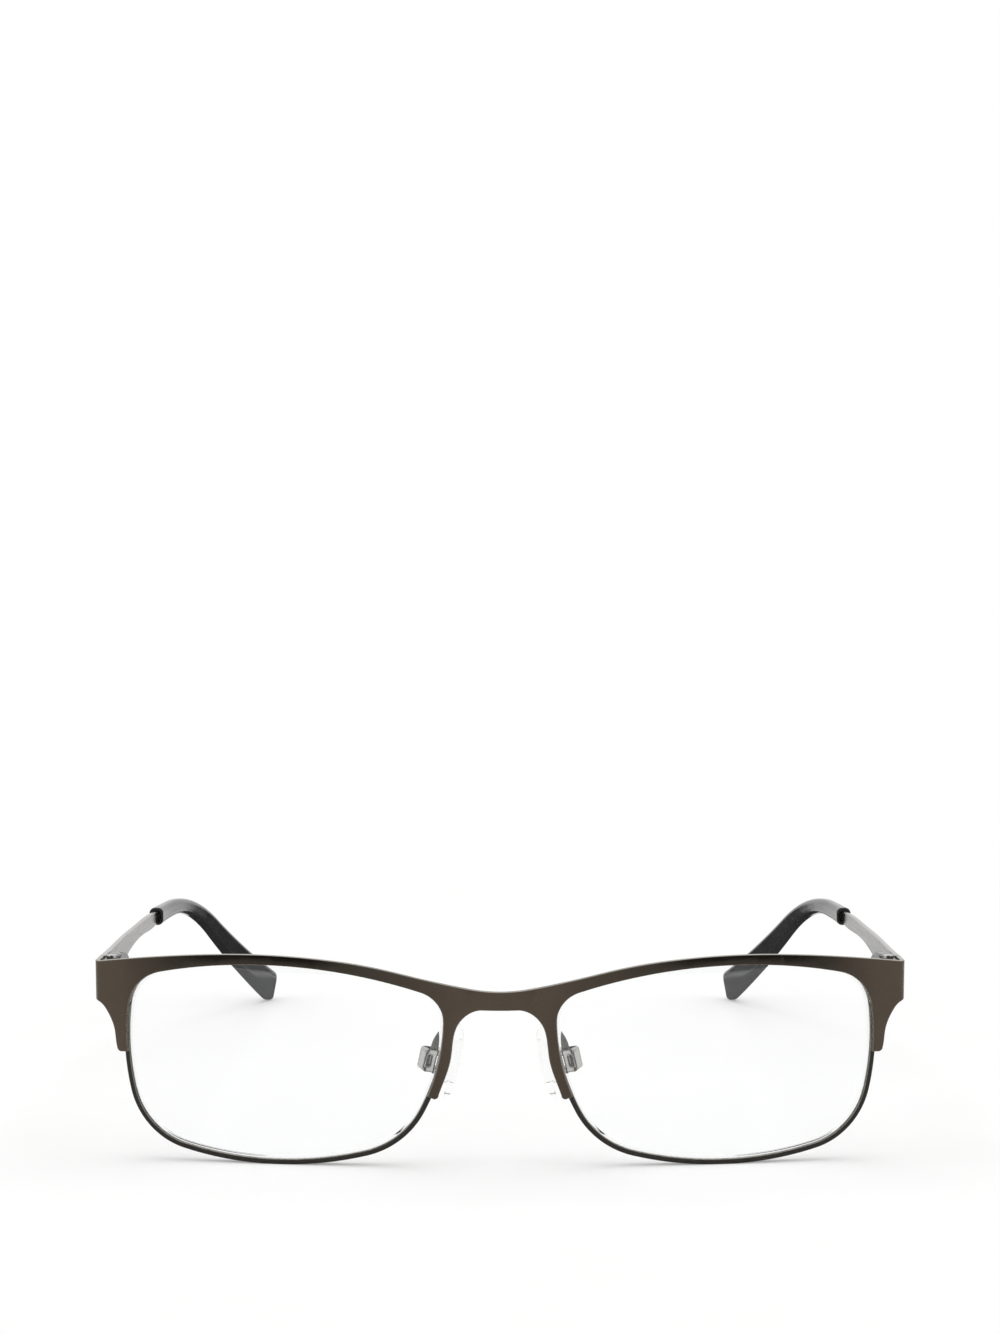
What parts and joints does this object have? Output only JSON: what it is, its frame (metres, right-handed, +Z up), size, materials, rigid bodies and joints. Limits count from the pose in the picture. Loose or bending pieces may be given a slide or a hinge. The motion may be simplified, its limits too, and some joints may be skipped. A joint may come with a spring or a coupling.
{
  "type": "spectacles",
  "caption": "Rectangular metal spectacles with a stamped brow front, wire rims, adjustable nose pads and sprung folding temples.",
  "frame": {"origin": "on the table under the middle of the whole object", "axes": "+Z up, -Y the way the front faces, +X the wearer's left"},
  "size_m": [0.138, 0.146, 0.0367],
  "materials": {
    "gunmetal": "satin",
    "black_wire": "gloss",
    "grey_metal": "satin",
    "steel": "satin",
    "lens": "gloss",
    "silicone": "satin",
    "pad_core": "satin",
    "black_tip": "gloss"
  },
  "bodies": {
    "front": {"front_plate": "gunmetal", "left_eyewire": "black_wire", "left_lens": "lens", "left_closing_block_upper": "black_wire", "left_closing_block_lower": "black_wire", "left_rim_screw": "steel", "left_pad_arm": "grey_metal", "left_pad_box": "grey_metal", "left_pad_screw": "steel", "left_front_hinge_leaf": "grey_metal", "left_hinge_screw": "steel", "right_eyewire": "black_wire", "right_lens": "lens", "right_closing_block_upper": "black_wire", "right_closing_block_lower": "black_wire", "right_rim_screw": "steel", "right_pad_arm": "grey_metal", "right_pad_box": "grey_metal", "right_pad_screw": "steel", "right_front_hinge_leaf": "grey_metal", "right_hinge_screw": "steel"},
    "left_slider": {"left_hinge_slider": "grey_metal", "left_slider_nut": "steel"},
    "left_temple": {"left_spring_box": "grey_metal", "left_spring_stop": "steel", "left_flex_spring": "steel", "left_temple": "gunmetal", "left_temple_tip": "black_tip"},
    "left_pad": {"left_nose_pad": "silicone", "left_pad_core": "pad_core"},
    "right_slider": {"right_hinge_slider": "grey_metal", "right_slider_nut": "steel"},
    "right_temple": {"right_spring_box": "grey_metal", "right_spring_stop": "steel", "right_flex_spring": "steel", "right_temple": "gunmetal", "right_temple_tip": "black_tip"},
    "right_pad": {"right_nose_pad": "silicone", "right_pad_core": "pad_core"}
  },
  "joints": [
    {"name": "left_temple_fold", "type": "hinge", "parent": "front", "child": "left_slider", "pos_m": [0.06695, -0.05822, 0.03098], "axis": [0, 0.0394, 0.9992], "range_deg": [0, 82]},
    {"name": "left_temple_flex", "type": "slide", "parent": "left_slider", "child": "left_temple", "axis": [0, 0.9992, -0.0394], "range_m": [0, 0.001], "stiffness_N_per_m": 1000, "springref_m": -0.003, "deforming": ["left_flex_spring"]},
    {"name": "left_pad_rock", "type": "hinge", "parent": "front", "child": "left_pad", "pos_m": [0.01104, -0.06459, 0.01744], "axis": [-0.4186, -0.9047, -0.0792], "range_deg": [-8, 8]},
    {"name": "right_temple_fold", "type": "hinge", "parent": "front", "child": "right_slider", "pos_m": [-0.06695, -0.05822, 0.03098], "axis": [0, -0.0394, -0.9992], "range_deg": [0, 77]},
    {"name": "right_temple_flex", "type": "slide", "parent": "right_slider", "child": "right_temple", "axis": [0, 0.9992, -0.0394], "range_m": [0, 0.001], "stiffness_N_per_m": 1000, "springref_m": -0.003, "deforming": ["right_flex_spring"]},
    {"name": "right_pad_rock", "type": "hinge", "parent": "front", "child": "right_pad", "pos_m": [-0.01104, -0.06459, 0.01744], "axis": [0.4186, -0.9047, -0.0792], "range_deg": [-8, 8]}
  ]
}
